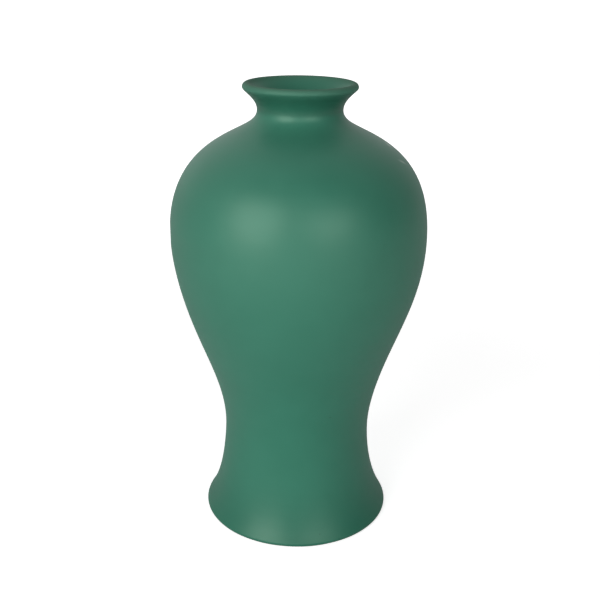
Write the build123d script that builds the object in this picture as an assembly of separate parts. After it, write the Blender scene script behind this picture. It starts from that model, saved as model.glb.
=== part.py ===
from build123d import *
import os
from dataclasses import dataclass
from math import cos, radians, sin, sqrt

# Glazed stoneware vase of meiping form: a small flared mouth, high round shoulders, a drawn-in waist
# and a spreading foot. Four thrown sections are luted with slip at the waist, the widest girth and the
# neck, and three coats of glaze cover all but the standing ring.
# Millimetres, +Z up, origin at the centre of the standing ring, on the surface the vase stands on.

# Widths over the glaze, and the heights from one girth to the next
foot_diameter = 142.1
waist_diameter = 110.5
belly_diameter = 185.5
neck_diameter = 60.0
mouth_diameter = 80.5
waist_height = 69.5
waist_to_belly = 154.1
belly_to_neck = 87.8
neck_to_rim = 18.6

# Radius of curvature of the outer profile at each girth
waist_bend = 97.7
belly_bend = 134.4
neck_bend = 9.3

# Foot: rounded edge, slope of the wall above it and the length over which that slope is held
foot_edge_round = 2.0
foot_lean = 33.3
foot_sweep = 26.0

# Lip: rounded crest, slope of its outer and inner sides and the lengths over which they are held
lip_round = 2.8
lip_lean = 15.0
lip_sweep = 2.0
throat_lean = 40.0
throat_sweep = 6.0

# Clay thickness of the wall at each girth, and of the floor
waist_wall = 7.0
belly_wall = 6.0
neck_wall = 5.0
floor_thickness = 9.0

# Inside of the foot: width of the well above the floor, the cove at its edge and its sloping wall
well_diameter = 107.0
well_cove = 10.0
well_lean = 20.0
well_sweep = 14.0

# Underside: flat standing ring, its inner edge, and the recess inside it
ring_flat = 8.0
ring_edge_round = 1.2
recess_depth = 6.0
recess_cove = 2.5

# Glaze coat, and the angle below level on the foot's edge at which it is wiped off
glaze = 0.5
wipe_angle = 40.0

# Luted joints: thickness of the slip, and the tongue that locks each pair of sections
slip = 0.8
tongue_rise = 2.0
tongue_width = 3.0

belly_height = waist_height + waist_to_belly
neck_height = belly_height + belly_to_neck
rim_height = neck_height + neck_to_rim
floor_height = recess_depth + floor_thickness


@dataclass
class Girth:
    """A level at which the profile runs straight up: its radius, height and radius of curvature."""

    radius: float
    height: float
    bend: float

    def inset(self, depth, bulge):
        """The same level deeper in the wall. bulge is 1 on a bulging wall and -1 on a waisted one."""
        return Girth(self.radius - depth, self.height, self.bend - bulge * depth)


@dataclass
class Round:
    """A rounded edge or a cove: its centre and radius."""

    radius: float
    height: float
    size: float

    def at(self, angle):
        """Point on the round, with the angle in degrees above level."""
        turn = radians(angle)
        return point(self.radius + self.size * cos(turn), self.height + self.size * sin(turn))

    def arc(self, start, end):
        """The part of the round between two angles."""
        return ThreePointArc(self.at(start), self.at((start + end) / 2), self.at(end))


def point(radius, height):
    """Point of the half section, which lies in the XZ plane."""
    return Vector(radius, 0, height)


def reach(girth, offset):
    """Length of a cubic's handle at a girth whose far handle ends at an offset to the side.

    The cubic's curvature there is 2 * offset / (3 * reach ** 2), and it is set to the girth's own.
    """
    return sqrt(2 * abs(offset) * girth.bend / 3)


def wall_span(low, high):
    """Curve between two girths, which leaves both of them straight up."""
    offset = high.radius - low.radius
    return Bezier(
        point(low.radius, low.height),
        point(low.radius, low.height + reach(low, offset)),
        point(high.radius, high.height - reach(high, offset)),
        point(high.radius, high.height),
    )


def sloped_span(girth, end, lean, sweep, side):
    """Curve from a girth to a point at which it leans outwards. side is 1 for a point above, -1 below."""
    slope = point(sin(radians(lean)), side * cos(radians(lean)))
    hold = end - slope * sweep
    handle = side * reach(girth, hold.X - girth.radius)
    return Bezier(
        point(girth.radius, girth.height),
        point(girth.radius, girth.height + handle),
        hold,
        end,
    )


def turned(edges):
    """Solid turned about the axis from a closed half section."""
    return revolve(Face(Wire(edges)), Axis.Z)


@dataclass
class Surface:
    """One side of a layer: its girths and the rounds at its foot and lip, with their slopes."""

    waist: Girth
    belly: Girth
    neck: Girth
    foot: Round
    foot_lean: float
    foot_sweep: float
    lip: Round
    lip_angle: float
    lip_lean: float
    lip_sweep: float

    def body(self):
        """Curves from the foot round up to the neck."""
        return [
            sloped_span(self.waist, self.foot.at(self.foot_lean), self.foot_lean, self.foot_sweep, -1),
            wall_span(self.waist, self.belly),
            wall_span(self.belly, self.neck),
        ]

    def mouth(self):
        """Curve from the neck up to the lip round."""
        return sloped_span(self.neck, self.lip.at(self.lip_angle), self.lip_lean, self.lip_sweep, 1)


foot_centre = foot_diameter / 2 - glaze - foot_edge_round
lip_centre = mouth_diameter / 2 - lip_round
waist = Girth(waist_diameter / 2, waist_height, waist_bend)
belly = Girth(belly_diameter / 2, belly_height, belly_bend)
neck = Girth(neck_diameter / 2, neck_height, neck_bend)


def outer_surface(depth):
    """Outside of the vase, at a depth below the face of the glaze."""
    return Surface(
        waist=waist.inset(depth, -1),
        belly=belly.inset(depth, 1),
        neck=neck.inset(depth, -1),
        foot=Round(foot_centre, foot_edge_round, foot_edge_round + glaze - depth),
        foot_lean=foot_lean,
        foot_sweep=foot_sweep,
        lip=Round(lip_centre, rim_height - lip_round, lip_round - depth),
        lip_angle=-lip_lean,
        lip_lean=lip_lean,
        lip_sweep=lip_sweep,
    )


def inner_surface(cover):
    """Inside of the vase, at a cover of glaze above the face of the clay."""
    return Surface(
        waist=waist.inset(glaze + waist_wall + cover, -1),
        belly=belly.inset(glaze + belly_wall + cover, 1),
        neck=neck.inset(glaze + neck_wall + cover, -1),
        foot=Round(well_diameter / 2 - well_cove, floor_height + well_cove, well_cove - cover),
        foot_lean=well_lean,
        foot_sweep=well_sweep,
        lip=Round(lip_centre, rim_height - lip_round, lip_round - glaze + cover),
        lip_angle=180 - throat_lean,
        lip_lean=throat_lean,
        lip_sweep=throat_sweep,
    )


outer_glaze_face = outer_surface(0)
outer_clay_face = outer_surface(glaze)
inner_clay_face = inner_surface(0)
inner_glaze_face = inner_surface(glaze)
recess_radius = foot_centre - ring_flat - ring_edge_round
recess_corner = Round(recess_radius - recess_cove, recess_depth - recess_cove, recess_cove)


def clay_wall():
    """The whole clay body before it is parted into sections."""
    ring_edge = Round(recess_radius + ring_edge_round, ring_edge_round, ring_edge_round)
    well = inner_clay_face.foot
    return turned([
        Line(point(0, floor_height), point(0, recess_depth)),
        Line(point(0, recess_depth), recess_corner.at(90)),
        recess_corner.arc(90, 0),
        Line(recess_corner.at(0), ring_edge.at(180)),
        ring_edge.arc(180, 270),
        Line(ring_edge.at(270), outer_clay_face.foot.at(-90)),
        outer_clay_face.foot.arc(-90, foot_lean),
        *outer_clay_face.body(),
        outer_clay_face.mouth(),
        outer_clay_face.lip.arc(-lip_lean, 180 - throat_lean),
        inner_clay_face.mouth(),
        *inner_clay_face.body(),
        well.arc(well_lean, -90),
        Line(well.at(-90), point(0, floor_height)),
    ])


def luting_band(girth, wall):
    """Layer of slip across the wall at a girth, raised in the middle to a tongue that runs all round."""
    middle = girth.radius - glaze - wall / 2
    base = girth.height - slip / 2
    lower = [
        point(middle - wall, base),
        point(middle - tongue_width / 2, base),
        point(middle, base + tongue_rise),
        point(middle + tongue_width / 2, base),
        point(middle + wall, base),
    ]
    upper = [corner + point(0, slip) for corner in reversed(lower)]
    return turned(Polyline(*lower, *upper, close=True).edges())


def outer_glaze_coat():
    """Glaze from the wiped line on the foot's edge, over the lip and down to the neck inside."""
    face = outer_glaze_face
    clay = outer_clay_face
    return turned([
        Line(clay.foot.at(-wipe_angle), face.foot.at(-wipe_angle)),
        face.foot.arc(-wipe_angle, foot_lean),
        *face.body(),
        face.mouth(),
        face.lip.arc(-lip_lean, 180 - throat_lean),
        inner_glaze_face.mouth(),
        Line(
            point(inner_glaze_face.neck.radius, neck_height),
            point(inner_clay_face.neck.radius, neck_height),
        ),
        inner_clay_face.mouth(),
        clay.lip.arc(-lip_lean, 180 - throat_lean),
        clay.mouth(),
        *clay.body(),
        clay.foot.arc(-wipe_angle, foot_lean),
    ])


def inner_glaze_coat():
    """Glaze poured inside, from the neck down the wall and over the floor."""
    face = inner_glaze_face
    clay = inner_clay_face
    return turned([
        Line(point(0, floor_height), point(0, floor_height + glaze)),
        Line(point(0, floor_height + glaze), face.foot.at(-90)),
        face.foot.arc(-90, well_lean),
        *face.body(),
        Line(point(face.neck.radius, neck_height), point(clay.neck.radius, neck_height)),
        *clay.body(),
        clay.foot.arc(well_lean, -90),
        Line(clay.foot.at(-90), point(0, floor_height)),
    ])


def base_glaze_coat():
    """Glaze in the recess under the floor, down to the edge of the standing ring."""
    clay = recess_corner
    face = Round(clay.radius, clay.height, clay.size - glaze)
    clay_edge = point(recess_radius, ring_edge_round)
    face_edge = point(recess_radius - glaze, ring_edge_round)
    clay_centre = point(0, recess_depth)
    face_centre = point(0, recess_depth - glaze)
    return turned([
        Line(clay_centre, clay.at(90)),
        clay.arc(90, 0),
        Line(clay.at(0), clay_edge),
        Line(clay_edge, face_edge),
        Line(face_edge, face.at(0)),
        face.arc(0, 90),
        Line(face.at(90), face_centre),
        Line(face_centre, clay_centre),
    ])


def main():
    """Part the clay at its three luted joints and write every piece."""
    wall = clay_wall()
    bands = {
        "waist": luting_band(waist, waist_wall),
        "belly": luting_band(belly, belly_wall),
        "neck": luting_band(neck, neck_wall),
    }
    clay = wall - list(bands.values())
    sections = clay.solids().sort_by(Axis.Z)
    names = ["foot_section", "lower_body_section", "shoulder_section", "mouth_section"]
    pieces = dict(zip(names, sections, strict=True))
    for joint, band in bands.items():
        pieces[f"{joint}_luting_ring"] = wall & band
    pieces["outer_glaze_coat"] = outer_glaze_coat()
    pieces["inner_glaze_coat"] = inner_glaze_coat()
    pieces["base_glaze_coat"] = base_glaze_coat()

    os.makedirs("parts", exist_ok=True)
    for name, piece in pieces.items():
        export_step(piece, f"parts/{name}.step")


main()
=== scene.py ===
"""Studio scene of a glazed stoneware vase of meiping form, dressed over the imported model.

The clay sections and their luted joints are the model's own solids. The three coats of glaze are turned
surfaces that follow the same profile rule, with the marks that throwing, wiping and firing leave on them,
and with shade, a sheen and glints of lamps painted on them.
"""

import logging
import math
from dataclasses import dataclass
from enum import Enum
from functools import lru_cache
from typing import Any

import bpy
import numpy as np
from mathutils import Matrix, Vector


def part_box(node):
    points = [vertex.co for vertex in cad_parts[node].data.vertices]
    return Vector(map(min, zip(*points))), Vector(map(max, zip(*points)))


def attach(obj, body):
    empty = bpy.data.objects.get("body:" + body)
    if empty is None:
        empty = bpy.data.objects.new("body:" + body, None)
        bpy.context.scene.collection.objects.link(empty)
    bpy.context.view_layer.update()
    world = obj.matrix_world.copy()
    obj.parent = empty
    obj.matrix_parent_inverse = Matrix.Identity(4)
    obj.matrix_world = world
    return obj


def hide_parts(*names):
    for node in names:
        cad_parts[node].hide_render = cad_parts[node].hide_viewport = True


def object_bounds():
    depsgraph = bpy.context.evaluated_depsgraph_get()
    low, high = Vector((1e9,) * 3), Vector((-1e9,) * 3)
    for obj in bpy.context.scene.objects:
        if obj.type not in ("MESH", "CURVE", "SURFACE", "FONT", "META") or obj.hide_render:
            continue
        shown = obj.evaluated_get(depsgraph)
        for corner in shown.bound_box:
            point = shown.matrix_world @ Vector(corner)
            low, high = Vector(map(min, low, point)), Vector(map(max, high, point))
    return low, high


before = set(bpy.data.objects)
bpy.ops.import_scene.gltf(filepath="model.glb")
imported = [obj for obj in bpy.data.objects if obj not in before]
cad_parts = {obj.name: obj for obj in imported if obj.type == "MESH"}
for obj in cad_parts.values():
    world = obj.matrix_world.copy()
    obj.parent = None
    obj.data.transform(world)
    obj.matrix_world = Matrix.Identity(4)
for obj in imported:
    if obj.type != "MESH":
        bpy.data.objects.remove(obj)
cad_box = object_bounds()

log = logging.getLogger("vase")

# Lengths are millimetres until a mesh is made. A point of the half section is radius + height * i
MM = 0.001
# Columns of points round the axis on every turned surface
COLUMNS = 200

# Sockets of a Mix node that is set to mix colours
MIX_SHARE = 0
MIX_UNDER = 6
MIX_OVER = 7
MIX_RESULT = 2


class Bulge(Enum):
    """Which way a wall curves at a girth."""

    OUT = 1
    IN = -1


class Side(Enum):
    """Whether the end of a sloped span lies above or below its girth."""

    ABOVE = 1
    BELOW = -1


@dataclass(frozen=True)
class Girth:
    """A level at which the profile runs straight up: its radius, height and radius of curvature."""

    radius: float
    height: float
    bend: float

    @property
    def point(self) -> complex:
        """The girth as a point of the half section."""
        return complex(self.radius, self.height)

    def inset(self, depth: float, bulge: Bulge) -> "Girth":
        """The same level deeper in the wall."""
        return Girth(self.radius - depth, self.height, self.bend - bulge.value * depth)

    def handle(self, offset: float) -> complex:
        """Handle of a cubic that leaves the girth straight up.

        Args:
            offset: How far to the side the far handle of the cubic ends.

        Returns:
            The handle, whose length sqrt(2 * offset * bend / 3) gives the cubic the girth's own curvature.
        """
        return 1j * math.sqrt(2 * abs(offset) * self.bend / 3)


@dataclass(frozen=True)
class Round:
    """A rounded edge or a cove: its centre and radius."""

    centre: complex
    size: float

    def at(self, angle: float) -> complex:
        """Point on the round, with the angle in degrees above level."""
        return self.centre + self.size * np.exp(1j * math.radians(angle))

    def arc(self, start: float, end: float, steps: int) -> np.ndarray:
        """Points centre + size * exp(i * angle) for even steps between two angles in degrees."""
        return self.centre + self.size * np.exp(1j * np.radians(np.linspace(start, end, steps)))


def cubic(first: complex, second: complex, third: complex, last: complex, steps: int) -> np.ndarray:
    """Points (1-t)^3 A + 3 (1-t)^2 t B + 3 (1-t) t^2 C + t^3 D of a cubic curve.

    Args:
        first: Start A of the curve.
        second: Handle B of the start.
        third: Handle C of the end.
        last: End D of the curve.
        steps: How many points.

    Returns:
        The points, for even steps of t from 0 to 1.
    """
    t = np.linspace(0, 1, steps)
    s = 1 - t
    return s**3 * first + 3 * s**2 * t * second + 3 * s * t**2 * third + t**3 * last


def wall_span(low: Girth, high: Girth, steps: int) -> np.ndarray:
    """Cubic between two girths, which leaves both of them straight up and with their own curvature.

    Args:
        low: Lower girth.
        high: Upper girth.
        steps: How many points.

    Returns:
        The points from the lower girth to the upper one.
    """
    offset = high.radius - low.radius
    start = low.point + low.handle(offset)
    finish = high.point - high.handle(offset)
    return cubic(low.point, start, finish, high.point, steps)


def sloped_span(
    girth: Girth,
    end: complex,
    lean: float,
    sweep: float,
    side: Side,
    steps: int,
) -> np.ndarray:
    """Cubic from a girth to a point at which it leans outwards.

    Args:
        girth: Where the cubic starts, straight up or down.
        end: Where it ends.
        lean: Slope at the end, in degrees off the vertical.
        sweep: Length over which that slope is held.
        side: Whether the end is above or below the girth.
        steps: How many points.

    Returns:
        The points from the girth to the end.
    """
    slope = complex(math.sin(math.radians(lean)), side.value * math.cos(math.radians(lean)))
    hold = end - slope * sweep
    handle = side.value * girth.handle(hold.real - girth.radius)
    return cubic(girth.point, girth.point + handle, hold, end, steps)


def chain(*spans: np.ndarray) -> np.ndarray:
    """Join spans end to end into one line, without the point that two neighbours share."""
    return np.concatenate([spans[0], *(span[1:] for span in spans[1:])])


@dataclass(frozen=True)
class Skin:
    """One face of a layer: its girths and the rounds at its foot and lip, with their slopes."""

    waist: Girth
    belly: Girth
    neck: Girth
    foot: Round
    foot_lean: float
    foot_sweep: float
    lip: Round
    lip_angle: float
    lip_lean: float
    lip_sweep: float

    def body(self, steps: int) -> np.ndarray:
        """Line from the foot round up to the neck.

        Args:
            steps: How many points each of the line's three spans has.

        Returns:
            The points.
        """
        end = self.foot.at(self.foot_lean)
        foot = sloped_span(self.waist, end, self.foot_lean, self.foot_sweep, Side.BELOW, steps)
        lower = wall_span(self.waist, self.belly, steps)
        upper = wall_span(self.belly, self.neck, steps)
        return chain(foot[::-1], lower, upper)

    def mouth(self, steps: int) -> np.ndarray:
        """Line from the neck up to the lip round."""
        end = self.lip.at(self.lip_angle)
        return sloped_span(self.neck, end, self.lip_lean, self.lip_sweep, Side.ABOVE, steps)


@lru_cache
def corner(node: str) -> tuple[np.ndarray, np.ndarray]:
    """Lowest and highest corner of a node of the frame, in millimetres."""
    low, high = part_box(node)
    return np.array(low) / MM, np.array(high) / MM


@dataclass(frozen=True)
class VaseForm:
    """Profile of the vase: its girths and heights come from the frame, and its curvatures from the part."""

    # Radius of curvature at each girth
    waist_bend: float = 97.7
    belly_bend: float = 134.4
    neck_bend: float = 9.3
    # Foot and lip: their rounds, their slopes and the lengths over which the slopes are held
    foot_edge_round: float = 2.0
    foot_lean: float = 33.3
    foot_sweep: float = 26.0
    lip_round: float = 2.8
    lip_lean: float = 15.0
    lip_sweep: float = 2.0
    throat_lean: float = 40.0
    throat_sweep: float = 6.0
    # Clay thickness at each girth
    waist_wall: float = 7.0
    belly_wall: float = 6.0
    neck_wall: float = 5.0
    # Well above the floor, cove of the recess below it, wiped line of the glaze, and slip of the joints
    well_width: float = 107.0
    well_cove: float = 10.0
    well_lean: float = 20.0
    well_sweep: float = 14.0
    recess_cove: float = 2.5
    wipe_angle: float = 40.0
    slip: float = 0.8

    @property
    def glaze(self) -> float:
        """Thickness of the coat: how far it stands outside the clay at the widest girth."""
        return corner("outer_glaze_coat")[1][0] - corner("belly_luting_ring")[1][0]

    @property
    def rim_height(self) -> float:
        """Height of the lip over the glaze."""
        return corner("outer_glaze_coat")[1][2]

    @property
    def floor_height(self) -> float:
        """Height of the clay floor inside."""
        return corner("inner_glaze_coat")[0][2]

    @property
    def recess(self) -> Round:
        """Cove at the edge of the recess under the floor."""
        high = corner("base_glaze_coat")[1]
        return Round(complex(high[0] - self.recess_cove, high[2] - self.recess_cove), self.recess_cove)

    @property
    def recess_edge(self) -> float:
        """Height at which the glaze of the recess ends."""
        return corner("base_glaze_coat")[0][2]

    def girth(self, joint: str, bend: float) -> Girth:
        """Girth over the glaze at a luted joint, read from the slip that fills the joint."""
        low, high = corner(f"{joint}_luting_ring")
        return Girth(high[0] + self.glaze, low[2] + self.slip / 2, bend)

    def outside(self, depth: float) -> Skin:
        """Outside of the vase.

        Args:
            depth: How deep below the face of the glaze.

        Returns:
            The face at that depth.
        """
        foot_radius = corner("foot_section")[1][0] - self.foot_edge_round
        foot_centre = complex(foot_radius, self.foot_edge_round)
        lip_radius = corner("mouth_section")[1][0] + self.glaze - self.lip_round
        lip_centre = complex(lip_radius, self.rim_height - self.lip_round)
        return Skin(
            waist=self.girth("waist", self.waist_bend).inset(depth, Bulge.IN),
            belly=self.girth("belly", self.belly_bend).inset(depth, Bulge.OUT),
            neck=self.girth("neck", self.neck_bend).inset(depth, Bulge.IN),
            foot=Round(foot_centre, self.foot_edge_round + self.glaze - depth),
            foot_lean=self.foot_lean,
            foot_sweep=self.foot_sweep,
            lip=Round(lip_centre, self.lip_round - depth),
            lip_angle=-self.lip_lean,
            lip_lean=self.lip_lean,
            lip_sweep=self.lip_sweep,
        )

    def inside(self, cover: float) -> Skin:
        """Inside of the vase.

        Args:
            cover: How far above the face of the clay.

        Returns:
            The face with that cover.
        """
        clay = self.outside(self.glaze)
        well_centre = complex(self.well_width / 2 - self.well_cove, self.floor_height + self.well_cove)
        return Skin(
            waist=clay.waist.inset(self.waist_wall + cover, Bulge.IN),
            belly=clay.belly.inset(self.belly_wall + cover, Bulge.OUT),
            neck=clay.neck.inset(self.neck_wall + cover, Bulge.IN),
            foot=Round(well_centre, self.well_cove - cover),
            foot_lean=self.well_lean,
            foot_sweep=self.well_sweep,
            lip=Round(clay.lip.centre, clay.lip.size + cover),
            lip_angle=180 - self.throat_lean,
            lip_lean=self.throat_lean,
            lip_sweep=self.throat_sweep,
        )


def around() -> np.ndarray:
    """Angles of the columns round the axis, counted from +X."""
    return np.linspace(0, 2 * np.pi, COLUMNS, endpoint=False)


def spread(line: np.ndarray) -> np.ndarray:
    """The same line in every column."""
    return np.repeat(line[:, np.newaxis], COLUMNS, axis=1)


def outward(grid: np.ndarray) -> np.ndarray:
    """Unit normals of the lines of a grid: the direction of travel turned a quarter to the right."""
    travel = np.gradient(grid, axis=0)
    return -1j * travel / np.abs(travel)


def travelled(grid: np.ndarray) -> np.ndarray:
    """Length along each line of a grid from its start."""
    steps = np.abs(np.diff(grid, axis=0))
    return np.concatenate([np.zeros((1, grid.shape[1])), np.cumsum(steps, axis=0)])


def smooth(value: np.ndarray) -> np.ndarray:
    """Smooth step 3 v^2 - 2 v^3, held at 0 below 0 and at 1 above 1."""
    held = np.clip(value, 0, 1)
    return held * held * (3 - 2 * held)


def waver(angles: np.ndarray, *lobes: tuple[int, float]) -> np.ndarray:
    """Mean of sines round the axis, between -1 and 1: sin(count * angle + phase) for each lobe."""
    return np.mean([np.sin(count * angles + phase) for count, phase in lobes], axis=0)


def mesh_object(name: str, points: np.ndarray, faces: list[list[int]]) -> bpy.types.Object:
    """Smooth object linked to the scene, which stands at the origin with its place in its mesh.

    Args:
        name: Name of the object.
        points: Its points in millimetres.
        faces: The points of each face, in order.

    Returns:
        The object.
    """
    mesh = bpy.data.meshes.new(name)
    mesh.from_pydata(points * MM, [], faces)
    mesh.polygons.foreach_set("use_smooth", np.ones(len(mesh.polygons), dtype=bool))
    mesh.update()
    piece = bpy.data.objects.new(name, mesh)
    bpy.context.scene.collection.objects.link(piece)
    return piece


def turned_object(
    name: str,
    grid: np.ndarray,
    closed: bool,
    marks: dict[str, np.ndarray] | None = None,
) -> bpy.types.Object:
    """Object turned from a grid of half-section points, with a column for each angle round the axis.

    A point radius + height * i in the column at an angle goes to (radius cos, radius sin, height).
    Neighbours are joined by quads, whose order, first round and then along the line, makes them face to
    the right of the line.

    Args:
        name: Name of the object.
        grid: Points in millimetres, rows along the line and columns round the axis.
        closed: True for a line that ends where it starts, False for one that starts and ends on the axis.
        marks: Values from 0 to 1 at each point of a closed grid, kept as attributes by their names.

    Returns:
        The object.
    """
    body = grid if closed else grid[1:-1]
    turn = np.exp(1j * around())
    points = np.stack([body.real * turn.real, body.real * turn.imag, body.imag], axis=-1).reshape(-1, 3)
    index = np.arange(body.size).reshape(body.shape)
    beside = np.roll(index, -1, axis=1)
    if closed:
        ring = np.stack([index, beside, np.roll(beside, -1, axis=0), np.roll(index, -1, axis=0)], axis=-1)
        faces = ring.reshape(-1, 4).tolist()
    else:
        start, end = body.size, body.size + 1
        poles = np.array([[0, 0, grid[0, 0].imag], [0, 0, grid[-1, 0].imag]])
        points = np.concatenate([points, poles])
        strip = np.stack([index[:-1], beside[:-1], beside[1:], index[1:]], axis=-1)
        first = np.stack([np.full(COLUMNS, start), beside[0], index[0]], axis=-1)
        last = np.stack([index[-1], beside[-1], np.full(COLUMNS, end)], axis=-1)
        faces = strip.reshape(-1, 4).tolist() + first.tolist() + last.tolist()
    piece = mesh_object(name, points, faces)
    for mark, value in (marks or {}).items():
        layer = piece.data.attributes.new(mark, "FLOAT", "POINT")
        layer.data.foreach_set("value", value.reshape(-1).astype(np.float32))
    return piece


def linear(colour: str) -> tuple[float, ...]:
    """Linear colour of an sRGB hex value, by the sRGB standard's own curve.

    Args:
        colour: The value, as in "#336699".

    Returns:
        Red, green, blue and an alpha of 1.
    """
    value = np.array([int(colour[i : i + 2], 16) for i in (1, 3, 5)]) / 255
    light = np.where(value <= 0.04045, value / 12.92, ((value + 0.055) / 1.055) ** 2.4)
    return (*light.tolist(), 1.0)


def per_metre(size: float) -> float:
    """Scale of a texture whose features are a size in millimetres apart."""
    return 1 / (size * MM)


def add_node(
    tree: bpy.types.NodeTree,
    kind: str,
    settings: dict[str, Any] | None = None,
    inputs: dict[str | int, Any] | None = None,
) -> bpy.types.Node:
    """Add a node with its settings and inputs.

    Args:
        tree: Node tree that the node goes into.
        kind: Blender's name for the kind of node.
        settings: Properties of the node by name.
        inputs: Inputs by name or place, each a plain value or the output socket that it is linked from.

    Returns:
        The new node.
    """
    node = tree.nodes.new(kind)
    for name, value in (settings or {}).items():
        setattr(node, name, value)
    for name, value in (inputs or {}).items():
        if isinstance(value, bpy.types.NodeSocket):
            tree.links.new(value, node.inputs[name])
        else:
            node.inputs[name].default_value = value
    return node


def new_material(name: str) -> tuple[bpy.types.Material, bpy.types.NodeTree]:
    """Make a material with an empty node tree.

    Args:
        name: Name of the material.

    Returns:
        The material and its tree.
    """
    material = bpy.data.materials.new(name)
    material.use_nodes = True
    material.node_tree.nodes.clear()
    return material, material.node_tree


@dataclass(frozen=True)
class SpeckOrGlint:
    """A small mark, an iron speck or a painted glint of a lamp: an ellipsoid in the wall, in millimetres,
    in which its colour shows.
    """

    colour: str
    strength: float
    middle: tuple[float, float, float]
    reach: tuple[float, float, float]
    turn: tuple[float, float, float] = (0.0, 0.0, 0.0)

    def over(
        self,
        tree: bpy.types.NodeTree,
        place: bpy.types.NodeSocket,
        under: bpy.types.NodeSocket,
    ) -> bpy.types.NodeSocket:
        """Lay the speck or painted glint over a colour.

        Args:
            tree: Node tree of the glaze.
            place: Place on the object.
            under: Colour of the glaze without the speck or painted glint.

        Returns:
            The colour with the speck or painted glint, which fades from its middle to the face of the
            ellipsoid.
        """
        ellipsoid = {
            "Vector": place,
            "Location": tuple(value * MM for value in self.middle),
            "Rotation": tuple(math.radians(value) for value in self.turn),
            "Scale": tuple(value * MM for value in self.reach),
        }
        local = add_node(tree, "ShaderNodeMapping", {"vector_type": "TEXTURE"}, ellipsoid).outputs[0]
        away = add_node(tree, "ShaderNodeVectorMath", {"operation": "LENGTH"}, {0: local}).outputs["Value"]
        fade = {"Value": away, "From Min": 1.0, "From Max": 0.0, "To Max": self.strength}
        share = add_node(tree, "ShaderNodeMapRange", {"interpolation_type": "SMOOTHSTEP"}, fade).outputs[0]
        layers = {MIX_SHARE: share, MIX_UNDER: under, MIX_OVER: linear(self.colour)}
        return add_node(tree, "ShaderNodeMix", {"data_type": "RGBA"}, layers).outputs[MIX_RESULT]


@dataclass(frozen=True)
class SatinGlaze:
    """Fired satin-matt glaze: opaque clouded green with a soft broad sheen and a fine eggshell grain."""

    name: str = "satin_green_glaze_dipped_and_fired"
    # Colours: clouds, painted sheen up high, dry crest, painted shade under the lip and at the foot, sheen
    deep: str = "#2B715C"
    light: str = "#337964"
    # Painted sheen: a greyer green laid high on the body
    painted_sheen: str = "#456B5A"
    crest: str = "#406957"
    # Painted shade: a deeper green laid under the flare of the mouth and towards the foot
    painted_shade: str = "#25614E"
    sheen: str = "#E0FFE8"
    roughness: float = 0.45
    roughness_spread: float = 0.05
    crest_dryness: float = 0.4
    ior: float = 1.56
    # Size of the clouds in millimetres, and their finer detail
    cloud: float = 26.0
    cloud_detail: float = 3.0
    # The real eggshell grain is near 0.3 mm, too fine for the picture, and is drawn coarser
    eggshell: float = 2.2
    eggshell_depth: float = 0.006
    # Two painted glints of lamps on the right shoulder, and two iron specks on the front
    specks_and_glints: tuple[SpeckOrGlint, ...] = (
        # Painted glints: two light streaks along the right shoulder's outline stand for reflections of lamps
        SpeckOrGlint("#97ADA1", 0.7, middle=(70.3, -18.7, 279.2), reach=(7.0, 2.3, 2.3), turn=(0.0, 23.7, 48.8)),
        SpeckOrGlint("#97ADA1", 0.7, middle=(62.0, -3.0, 287.8), reach=(5.0, 6.5, 2.4), turn=(0.0, 43.0, 0.0)),
        SpeckOrGlint("#1C4A3A", 0.5, middle=(23.9, -54.4, 100.2), reach=(1.8, 1.8, 0.8)),
        SpeckOrGlint("#1C4A3A", 0.5, middle=(18.0, -65.3, 8.2), reach=(1.0, 1.0, 1.0)),
    )

    def make(self) -> bpy.types.Material:
        """Build the material.

        Returns:
            The material. Clouds of the light colour lie in the deep one. Attributes of the coat say where a
            sheen is painted high on the body, where the crest is dry and rougher, and where shade is painted
            under the lip and at the foot. The eggshell grain is a bump.
        """
        material, tree = new_material(self.name)
        place = add_node(tree, "ShaderNodeTexCoord").outputs["Object"]
        clouds = add_node(
            tree,
            "ShaderNodeTexNoise",
            inputs={"Vector": place, "Scale": per_metre(self.cloud), "Detail": self.cloud_detail},
        ).outputs[0]
        layers = {MIX_SHARE: clouds, MIX_UNDER: linear(self.deep), MIX_OVER: linear(self.light)}
        colour = add_node(tree, "ShaderNodeMix", {"data_type": "RGBA"}, layers).outputs[MIX_RESULT]
        shares = {}
        # Over the clouds: the painted sheen high on the body, the dry crest, and the painted shade under the
        # lip and at the foot
        for mark, tint in {"painted_sheen": self.painted_sheen, "crest": self.crest, "painted_shade": self.painted_shade}.items():
            shares[mark] = add_node(tree, "ShaderNodeAttribute", {"attribute_name": mark}).outputs["Fac"]
            layers = {MIX_SHARE: shares[mark], MIX_UNDER: colour, MIX_OVER: linear(tint)}
            colour = add_node(tree, "ShaderNodeMix", {"data_type": "RGBA"}, layers).outputs[MIX_RESULT]
        # Iron specks, and painted glints of lamps on the right shoulder
        for speck_or_glint in self.specks_and_glints:
            colour = speck_or_glint.over(tree, place, colour)
        grain = add_node(
            tree,
            "ShaderNodeTexNoise",
            inputs={"Vector": place, "Scale": per_metre(self.eggshell)},
        ).outputs[0]
        clouded = add_node(
            tree,
            "ShaderNodeMapRange",
            inputs={
                "Value": clouds,
                "To Min": self.roughness - self.roughness_spread,
                "To Max": self.roughness + self.roughness_spread,
            },
        ).outputs[0]
        dry = {0: shares["crest"], 1: self.crest_dryness, 2: clouded}
        roughness = add_node(tree, "ShaderNodeMath", {"operation": "MULTIPLY_ADD"}, dry).outputs[0]
        relief = {"Height": grain, "Distance": self.eggshell_depth * MM}
        bump = add_node(tree, "ShaderNodeBump", inputs=relief).outputs[0]
        shader = add_node(
            tree,
            "ShaderNodeBsdfPrincipled",
            inputs={
                "Base Color": colour,
                "Roughness": roughness,
                "IOR": self.ior,
                "Specular Tint": linear(self.sheen),
                "Normal": bump,
            },
        ).outputs[0]
        add_node(tree, "ShaderNodeOutputMaterial", inputs={"Surface": shader})
        return material


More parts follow.
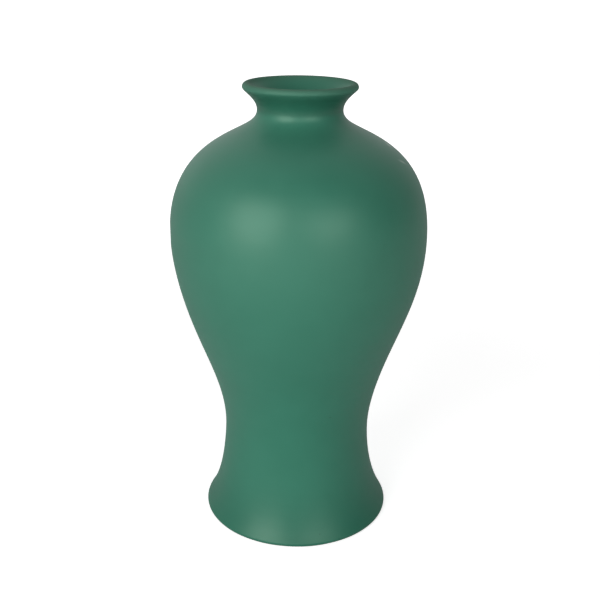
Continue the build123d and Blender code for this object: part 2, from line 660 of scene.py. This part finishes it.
@dataclass(frozen=True)
class FiredClay:
    """Bare fired clay: dry, matt and buff, with darker grit and a sandy grain. Sizes in millimetres."""

    name: str
    body: str
    grit: str
    grit_size: float
    grit_share: float
    grain: float
    grain_depth: float
    roughness: float
    ior: float = 1.5
    grit_blur: float = 0.08
    grit_detail: float = 1.0
    grain_detail: float = 4.0

    def make(self) -> bpy.types.Material:
        """Build the material.

        Returns:
            The material. Grit is the part of a fine noise above a threshold, and the sandy grain is a bump.
        """
        material, tree = new_material(self.name)
        place = add_node(tree, "ShaderNodeTexCoord").outputs["Object"]
        specks = add_node(
            tree,
            "ShaderNodeTexNoise",
            inputs={"Vector": place, "Scale": per_metre(self.grit_size), "Detail": self.grit_detail},
        ).outputs[0]
        share = add_node(
            tree,
            "ShaderNodeMapRange",
            inputs={
                "Value": specks,
                "From Min": 1 - self.grit_share - self.grit_blur,
                "From Max": 1 - self.grit_share + self.grit_blur,
            },
        ).outputs[0]
        layers = {MIX_SHARE: share, MIX_UNDER: linear(self.body), MIX_OVER: linear(self.grit)}
        colour = add_node(tree, "ShaderNodeMix", {"data_type": "RGBA"}, layers).outputs[MIX_RESULT]
        sand = add_node(
            tree,
            "ShaderNodeTexNoise",
            inputs={"Vector": place, "Scale": per_metre(self.grain), "Detail": self.grain_detail},
        ).outputs[0]
        relief = {"Height": sand, "Distance": self.grain_depth * MM}
        bump = add_node(tree, "ShaderNodeBump", inputs=relief).outputs[0]
        shader = add_node(
            tree,
            "ShaderNodeBsdfPrincipled",
            inputs={"Base Color": colour, "Roughness": self.roughness, "IOR": self.ior, "Normal": bump},
        ).outputs[0]
        add_node(tree, "ShaderNodeOutputMaterial", inputs={"Surface": shader})
        return material


# Coarse buff body: dark grit shows in a sandy, quite dull face
STONEWARE = FiredClay(
    name="buff_stoneware_thrown_and_fired",
    body="#A88F74",
    grit="#6E4F38",
    grit_size=1.4,
    grit_share=0.36,
    grain=0.8,
    grain_depth=0.05,
    roughness=0.85,
)

# The same clay sieved and wetted: finer, smoother and a little darker
SLIP = FiredClay(
    name="stoneware_slip_brushed_and_fired",
    body="#9C866D",
    grit="#7B634C",
    grit_size=1.0,
    grit_share=0.3,
    grain=0.5,
    grain_depth=0.02,
    roughness=0.8,
)


def fit_glaze(piece: bpy.types.Object, material: bpy.types.Material, node: str) -> bpy.types.Object:
    """Finish a new coat of glaze and put it in the frame.

    Args:
        piece: The new coat.
        material: Its finish.
        node: The node of the frame that the coat stands for.

    Returns:
        The coat.
    """
    piece.data.materials.append(material)
    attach(piece, "root")
    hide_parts(node)
    return piece


@dataclass
class OuterGlaze:
    """Coat from the wiped line on the foot's edge, up over the lip and down to the neck inside."""

    form: VaseForm
    material: bpy.types.Material
    # Wiped edge: its rounding and bead, and its wave in degrees on the foot's round, with lobes and phases
    edge_reach: float = 0.7
    bead_rise: float = 0.06
    bead_reach: float = 0.9
    wipe_wave: float = 5.0
    wipe_lobes: tuple[tuple[int, float], ...] = ((3, 0.4), (7, 2.1), (13, 4.0))
    # Spirals of throwing: the close one of the fingers and the slow one of the lifting hand
    throw_pitch: float = 8.0
    throw_depth: float = 0.02
    swell_pitch: float = 93.0
    swell_height: float = 96.5
    swell_rise: float = 0.22
    swell_bias: float = 0.5
    # Lengths over which the spirals fade out, and the room they leave at the widest girth
    foot_fade: float = 10.0
    lip_fade: float = 6.0
    throat_fade: float = 40.0
    girth_room: float = 0.05
    # Dry crest; shade painted under the lip and at the foot; sheen painted high on the body
    crest_reach: float = 4.0
    shade_start: float = -2.7
    shade_rise: float = 4.0
    shade_fall: float = 6.0
    shade_end: float = 2.5
    foot_shade: float = 0.5
    foot_shade_height: float = 50.0
    sheen_share: float = 0.2
    sheen_start: float = 100.0
    sheen_reach: float = 160.0
    # Rows of points on the seen side, and fewer on the side against the clay
    foot_rows: int = 26
    body_rows: int = 90
    mouth_rows: int = 24
    crest_rows: int = 32
    back_foot_rows: int = 8
    back_body_rows: int = 24
    back_mouth_rows: int = 8
    back_crest_rows: int = 14

    def foot(self) -> np.ndarray:
        """Rounded foot edge from the wiped line up, where the coat begins in a soft bead.

        Returns:
            Points centre + size * exp(i * angle). The size is the clay's, plus the coat, which rises from
            nothing as a quarter ellipse, plus the bead, a bell curve, over the length from the wiped line.
        """
        clay = self.form.outside(self.form.glaze).foot
        wave = self.wipe_wave * waver(around(), *self.wipe_lobes)
        angle = np.radians(np.linspace(wave - self.form.wipe_angle, self.form.foot_lean, self.foot_rows))
        length = (angle - angle[0]) * clay.size
        coat = self.form.glaze * np.sqrt(1 - (1 - np.clip(length / self.edge_reach, 0, 1)) ** 2)
        bead = self.bead_rise * np.exp(-(((length - self.bead_reach) / self.bead_reach) ** 2))
        bead = bead * np.clip(length / self.edge_reach, 0, 1)
        return clay.centre + (clay.size + coat + bead) * np.exp(1j * angle)

    def face(self) -> np.ndarray:
        """Seen side of the coat, with the faint spiral of the fingers and the slow one of the lifting hand.

        Returns:
            The profile moved inwards by throw_depth * (1 + sin(2 pi length / throw_pitch + angle)) / 2 and
            outwards by swell_rise * (bias + cos(2 pi (height - swell_height) / swell_pitch - angle)). Both
            fade out at the foot, the first also in the throat and the second at the lip, and no point
            passes the widest girth.
        """
        skin = self.form.outside(0)
        throat = self.form.inside(self.form.glaze)
        crest = skin.lip.arc(skin.lip_angle, throat.lip_angle, self.crest_rows)
        inner = throat.mouth(self.mouth_rows)[::-1]
        line = chain(skin.body(self.body_rows), skin.mouth(self.mouth_rows), crest, inner)
        grid = chain(self.foot(), spread(line))
        length = travelled(grid)
        start = smooth(length / self.foot_fade)
        end = smooth((length[-1] - length) / self.throat_fade)
        spiral = self.throw_depth * (1 + np.sin(2 * np.pi * length / self.throw_pitch + around())) / 2
        lip = smooth((grid.imag.max() - grid.imag) / self.lip_fade) * self.before_crest(grid)
        lifted = 2 * np.pi * (grid.imag - self.swell_height) / self.swell_pitch
        swell = self.swell_rise * (self.swell_bias + np.cos(lifted - around()))
        uneven = grid + outward(grid) * start * (lip * swell - end * spiral)
        return np.minimum(uneven.real, skin.belly.radius - self.girth_room) + 1j * uneven.imag

    def before_crest(self, grid: np.ndarray) -> np.ndarray:
        """Which points of a grid of the coat are outside, before its lines reach the crest of the lip."""
        return np.arange(len(grid))[:, np.newaxis] < np.argmax(grid.imag[:, 0])

    def back(self) -> np.ndarray:
        """Hidden side of the coat against the clay.

        Returns:
            The clay's profile in every column, from the throat back to the wiped line.
        """
        skin = self.form.outside(self.form.glaze)
        throat = self.form.inside(0)
        foot = skin.foot.arc(-self.form.wipe_angle, skin.foot_lean, self.back_foot_rows)
        crest = skin.lip.arc(skin.lip_angle, throat.lip_angle, self.back_crest_rows)
        inner = throat.mouth(self.back_mouth_rows)[::-1]
        line = chain(foot, skin.body(self.back_body_rows), skin.mouth(self.back_mouth_rows), crest, inner)
        return spread(line[::-1])

    def build(self) -> bpy.types.Object:
        """Build the coat and dress it.

        Returns:
            The coat. A sheen is painted on it from above the waist, greyer higher up, and it is dry on the
            crest of the lip, by a bell curve of the distance from the crest. Shade is painted on it under
            the flare of the mouth, from the neck up to the lip, and a little towards the foot.
        """
        face = self.face()
        grid = np.concatenate([face, self.back()[:-1]])
        skin = self.form.outside(0)
        crest = skin.lip.at(90)
        # Painted sheen: greyer from above the waist upwards, growing with height
        painted_sheen = self.sheen_share * smooth((grid.imag - self.sheen_start) / self.sheen_reach)
        bell = np.exp(-((np.abs(grid - crest) / self.crest_reach) ** 2))
        # Painted shade: darker from just below the neck up under the lip, and darker towards the foot
        above_neck = smooth((grid.imag - skin.neck.height - self.shade_start) / self.shade_rise)
        below_crest = smooth((crest.imag - self.shade_end - grid.imag) / self.shade_fall)
        at_foot = self.foot_shade * smooth(1 - grid.imag / self.foot_shade_height)
        painted_shade = self.before_crest(grid) * above_neck * below_crest + at_foot
        marks = {"painted_sheen": painted_sheen, "crest": bell, "painted_shade": painted_shade}
        piece = turned_object("outer_glaze", grid, closed=True, marks=marks)
        return fit_glaze(piece, self.material, "outer_glaze_coat")


@dataclass
class InnerGlaze:
    """Coat poured inside, from the neck down the wall and over the floor, over the ridges of throwing."""

    form: VaseForm
    material: bpy.types.Material
    # Spiral of the throwing ridges, and the rows of points on the seen side and against the clay
    ridge_pitch: float = 9.0
    ridge_depth: float = 0.22
    ridge_fade: float = 16.0
    face_rows: int = 40
    back_rows: int = 10

    def side(self, cover: float, steps: int) -> np.ndarray:
        """One side of the coat, from the axis on the floor up to the neck.

        Args:
            cover: How far above the face of the clay.
            steps: How many points the floor and the cove have. Each span of the wall has twice as many.

        Returns:
            The line in every column.
        """
        skin = self.form.inside(cover)
        floor = np.linspace(complex(0, skin.foot.at(-90).imag), skin.foot.at(-90), steps)
        return spread(chain(floor, skin.foot.arc(-90, skin.foot_lean, steps), skin.body(2 * steps)))

    def build(self) -> bpy.types.Object:
        """Build the coat and dress it.

        Returns:
            The coat. Its seen side dips by depth * (1 + sin(2 pi length / pitch - angle)) / 2 towards the
            clay, a spiral that fades out at the middle of the floor and at the neck.
        """
        face = self.side(self.form.glaze, self.face_rows)
        length = travelled(face)
        fade = smooth(length / self.ridge_fade) * smooth((length[-1] - length) / self.ridge_fade)
        spiral = (1 + np.sin(2 * np.pi * length / self.ridge_pitch - around())) / 2
        face = face + outward(face) * self.ridge_depth * fade * spiral
        grid = np.concatenate([self.side(0, self.back_rows), face[::-1]])
        piece = turned_object("inner_glaze", grid, closed=False)
        return fit_glaze(piece, self.material, "inner_glaze_coat")


@dataclass
class BaseGlaze:
    """Coat in the recess under the floor, down to the edge of the standing ring."""

    form: VaseForm
    material: bpy.types.Material
    # Rounded lower edge, rings of trimming, and the rows of points on each stretch
    edge_round: float = 0.25
    ring_pitch: float = 6.0
    ring_depth: float = 0.06
    ring_fade: float = 8.0
    flat_rows: int = 90
    cove_rows: int = 14
    edge_rows: int = 8
    back_rows: int = 10

    def build(self) -> bpy.types.Object:
        """Build the coat and dress it.

        Returns:
            The coat. Its seen side is lifted by depth * (1 + sin(2 pi length / pitch + angle)) / 2, the
            rings of the trimmed base, and its lower edge is rounded.
        """
        clay = self.form.recess
        face = Round(clay.centre, clay.size - self.form.glaze)
        clay_wall = face.at(0).real + self.form.glaze
        edge_centre = complex(face.at(0).real + self.edge_round, self.form.recess_edge + self.edge_round)
        edge = Round(edge_centre, self.edge_round)
        flat = spread(np.linspace(complex(0, face.at(90).imag), face.at(90), self.flat_rows))
        length = travelled(flat)
        fade = smooth(length / self.ring_fade) * smooth((length[-1] - length) / self.ring_fade)
        spiral = (1 + np.sin(2 * np.pi * length / self.ring_pitch + around())) / 2
        flat = flat + 1j * self.ring_depth * fade * spiral
        seen = chain(
            face.arc(90, 0, self.cove_rows),
            np.array([face.at(0), edge.at(180)]),
            edge.arc(180, 270, self.edge_rows),
        )
        hidden = chain(
            np.array([complex(clay_wall, self.form.recess_edge), clay.at(0)]),
            clay.arc(0, 90, self.back_rows),
            np.array([clay.at(90), complex(0, clay.at(90).imag)]),
        )
        grid = np.concatenate([chain(flat, spread(seen)), spread(hidden)])
        piece = turned_object("base_glaze", grid, closed=False)
        return fit_glaze(piece, self.material, "base_glaze_coat")


@dataclass
class ClayBody:
    """The thrown sections and the slip of their luted joints, which are the model's own solids."""

    clay: bpy.types.Material
    slip: bpy.types.Material
    sections: tuple[str, ...] = ("foot_section", "lower_body_section", "shoulder_section", "mouth_section")
    joints: tuple[str, ...] = ("waist_luting_ring", "belly_luting_ring", "neck_luting_ring")

    def dress(self) -> list[bpy.types.Object]:
        """Give the sections their clay and the joints their slip.

        Returns:
            The sections and the joints.
        """
        finishes = {name: self.clay for name in self.sections} | {name: self.slip for name in self.joints}
        for name, material in finishes.items():
            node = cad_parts[name]
            node.data.materials.clear()
            node.data.materials.append(material)
        return [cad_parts[name] for name in finishes]


def bearing(azimuth: float, elevation: float) -> Vector:
    """Unit vector from the vase, in degrees round it from the camera's side and in degrees above level."""
    turn, rise = math.radians(azimuth), math.radians(elevation)
    return Vector((math.sin(turn) * math.cos(rise), -math.cos(turn) * math.cos(rise), math.sin(rise)))


@dataclass(frozen=True)
class Softbox:
    """A rectangular studio light that faces the vase. Angles in degrees, lengths in metres."""

    name: str
    azimuth: float
    elevation: float
    distance: float
    width: float
    height: float
    radiance: float

    def build(self, target: Vector) -> bpy.types.Object:
        """Build the light.

        Args:
            target: The point that the light faces.

        Returns:
            The light. Its power pi * area * radiance makes its face as bright as the radiance.
        """
        away = bearing(self.azimuth, self.elevation)
        lamp = bpy.data.lights.new(self.name, "AREA")
        lamp.shape = "RECTANGLE"
        lamp.size = self.width
        lamp.size_y = self.height
        lamp.energy = math.pi * self.width * self.height * self.radiance
        light = bpy.data.objects.new(self.name, lamp)
        facing = away.to_track_quat("Z", "Y").to_matrix().to_4x4()
        light.matrix_world = Matrix.Translation(target + away * self.distance) @ facing
        bpy.context.scene.collection.objects.link(light)
        return light


@dataclass
class Studio:
    """Plain white floor and surroundings, soft lights and the photograph's camera. Lengths in metres."""

    floor_radius: float = 12.0
    floor_thickness: float = 0.005
    floor_rows: int = 3
    # White of the floor: lit paper, the glow added to it near and far, and the far glow that is mirrored
    paper_colour: str = "#D8D8D8"
    paper_glow: float = 0.7
    far_glow: float = 1.05
    glow_start: float = 0.3
    glow_end: float = 1.2
    mirrored_glow: float = 0.19
    # Light of the room: its colour, its level at the palest place, where that is, and how fast it falls away
    room_colour: str = "#FFFFFF"
    room_level: float = 0.87
    room_azimuth: float = -167.0
    room_elevation: float = 14.0
    room_power: float = 2.6
    # The photograph's camera, with angles in degrees and its focal length and frame in pixels
    camera_distance: float = 0.6411
    camera_height: float = 0.4135
    camera_pitch: float = 20.81
    camera_roll: float = 0.7
    camera_pan: float = -0.125
    focal_pixels: float = 915.7
    frame_pixels: float = 600.0
    sensor_width: float = 36.0
    lights: tuple[Softbox, ...] = (
        Softbox("key_softbox", -37.7, 20.4, distance=1.5, width=1.09, height=1.06, radiance=4.4),
        Softbox("fill_softbox", 26.0, 18.9, distance=1.5, width=0.92, height=0.7, radiance=3.65),
    )

    def seen(self, tree: bpy.types.NodeTree) -> bpy.types.NodeSocket:
        """Which rays see the plain white background.

        Args:
            tree: Node tree that the socket goes into.

        Returns:
            Socket that is 1 for a ray from the camera, also through glass, and 0 for the rest.
        """
        path = add_node(tree, "ShaderNodeLightPath").outputs
        both = {0: path["Is Camera Ray"], 1: path["Is Transmission Ray"]}
        return add_node(tree, "ShaderNodeMath", {"operation": "ADD", "use_clamp": True}, both).outputs[0]

    def floor(self) -> bpy.types.Object:
        """Build the floor.

        Returns:
            A round floor of matt white paper, which has no sheen and shows only light and shadow. A glow
            that seen rays meet, stronger away from the lights, keeps it white to its edge, and adds to the
            lit paper so that the vase's shadow stays. Mirrored rays meet a little of it, far away.
        """
        material, tree = new_material("matt_white_paper")
        place = add_node(tree, "ShaderNodeTexCoord").outputs["Object"]
        away = add_node(tree, "ShaderNodeVectorMath", {"operation": "LENGTH"}, {0: place}).outputs["Value"]
        reach = {"Value": away, "From Min": self.glow_start, "From Max": self.glow_end}
        far = add_node(tree, "ShaderNodeMapRange", {"interpolation_type": "SMOOTHSTEP"}, reach).outputs[0]
        levels = {"Value": far, "To Min": self.paper_glow, "To Max": self.far_glow}
        glow = add_node(tree, "ShaderNodeMapRange", inputs=levels).outputs[0]
        glossy = add_node(tree, "ShaderNodeLightPath").outputs["Is Glossy Ray"]
        share = {"Value": glossy, "To Max": self.mirrored_glow}
        mirror = add_node(tree, "ShaderNodeMapRange", inputs=share).outputs[0]
        behind = add_node(tree, "ShaderNodeMath", {"operation": "MULTIPLY"}, {0: far, 1: mirror}).outputs[0]
        sum_up = {0: glow, 1: self.seen(tree), 2: behind}
        strength = add_node(tree, "ShaderNodeMath", {"operation": "MULTIPLY_ADD"}, sum_up)
        light = add_node(tree, "ShaderNodeEmission", inputs={"Strength": strength.outputs[0]})
        paper = add_node(tree, "ShaderNodeBsdfDiffuse", inputs={"Color": linear(self.paper_colour)})
        both = add_node(tree, "ShaderNodeAddShader", inputs={0: paper.outputs[0], 1: light.outputs[0]})
        add_node(tree, "ShaderNodeOutputMaterial", inputs={"Surface": both.outputs[0]})
        top = np.linspace(0j, self.floor_radius / MM, self.floor_rows)
        under = top - 1j * self.floor_thickness / MM
        grid = spread(np.concatenate([under, top[::-1]]))
        floor = turned_object("floor", grid, closed=False)
        floor.data.materials.append(material)
        return floor

    def world(self) -> None:
        """White surroundings, which light the vase as a room does that is pale behind it and dim in front.

        The level in a direction is room_level * ((1 + cosine) / 2) ** room_power, with the cosine of the
        angle between that direction and the palest one.
        """
        world = bpy.data.worlds.new("white_surroundings")
        world.use_nodes = True
        tree = world.node_tree
        tree.nodes.clear()
        palest = bearing(self.room_azimuth, self.room_elevation)
        way = add_node(tree, "ShaderNodeTexCoord").outputs["Generated"]
        cosine = add_node(tree, "ShaderNodeVectorMath", {"operation": "DOT_PRODUCT"}, {0: way, 1: palest})
        facing = {"Value": cosine.outputs["Value"], "From Min": -1.0}
        share = add_node(tree, "ShaderNodeMapRange", inputs=facing).outputs[0]
        power = {0: share, 1: self.room_power}
        fade = add_node(tree, "ShaderNodeMath", {"operation": "POWER"}, power).outputs[0]
        room = add_node(tree, "ShaderNodeMapRange", inputs={"Value": fade, "To Max": self.room_level})
        level = {"Value": self.seen(tree), "To Min": room.outputs[0], "To Max": 1.0}
        strength = add_node(tree, "ShaderNodeMapRange", inputs=level).outputs[0]
        shine = {"Color": linear(self.room_colour), "Strength": strength}
        background = add_node(tree, "ShaderNodeBackground", inputs=shine).outputs[0]
        add_node(tree, "ShaderNodeOutputWorld", inputs={"Surface": background})
        bpy.context.scene.world = world

    def camera(self) -> bpy.types.Object:
        """Build the photograph's camera.

        Returns:
            The camera, which looks down at the vase from the front with a slight roll.
        """
        lens = bpy.data.cameras.new("camera")
        lens.sensor_width = self.sensor_width
        lens.lens = self.focal_pixels / self.frame_pixels * self.sensor_width
        camera = bpy.data.objects.new("camera", lens)
        pan = Matrix.Rotation(math.radians(self.camera_pan), 4, "Z")
        pitch = Matrix.Rotation(math.radians(90 - self.camera_pitch), 4, "X")
        roll = Matrix.Rotation(math.radians(self.camera_roll), 4, "Z")
        place = Matrix.Translation((0, -self.camera_distance, self.camera_height))
        camera.matrix_world = place @ pan @ pitch @ roll
        bpy.context.scene.collection.objects.link(camera)
        bpy.context.scene.camera = camera
        return camera

    def build(self) -> None:
        """Build the floor, the surroundings, the lights and the camera."""
        self.floor()
        self.world()
        middle = (Vector(cad_box[0]) + Vector(cad_box[1])) / 2
        for light in self.lights:
            light.build(middle)
        self.camera()
        bpy.context.scene.view_settings.view_transform = "Standard"


def main() -> None:
    """Build the vase and its studio."""
    logging.basicConfig(level=logging.INFO, format="%(message)s")
    form = VaseForm()
    glaze = SatinGlaze().make()
    pieces = [coat(form, glaze).build() for coat in (OuterGlaze, InnerGlaze, BaseGlaze)]
    pieces += ClayBody(STONEWARE.make(), SLIP.make()).dress()
    for piece in pieces:
        log.info("%s: %d faces", piece.name, len(piece.data.polygons))
    Studio().build()


if __name__ == "__main__":
    main()
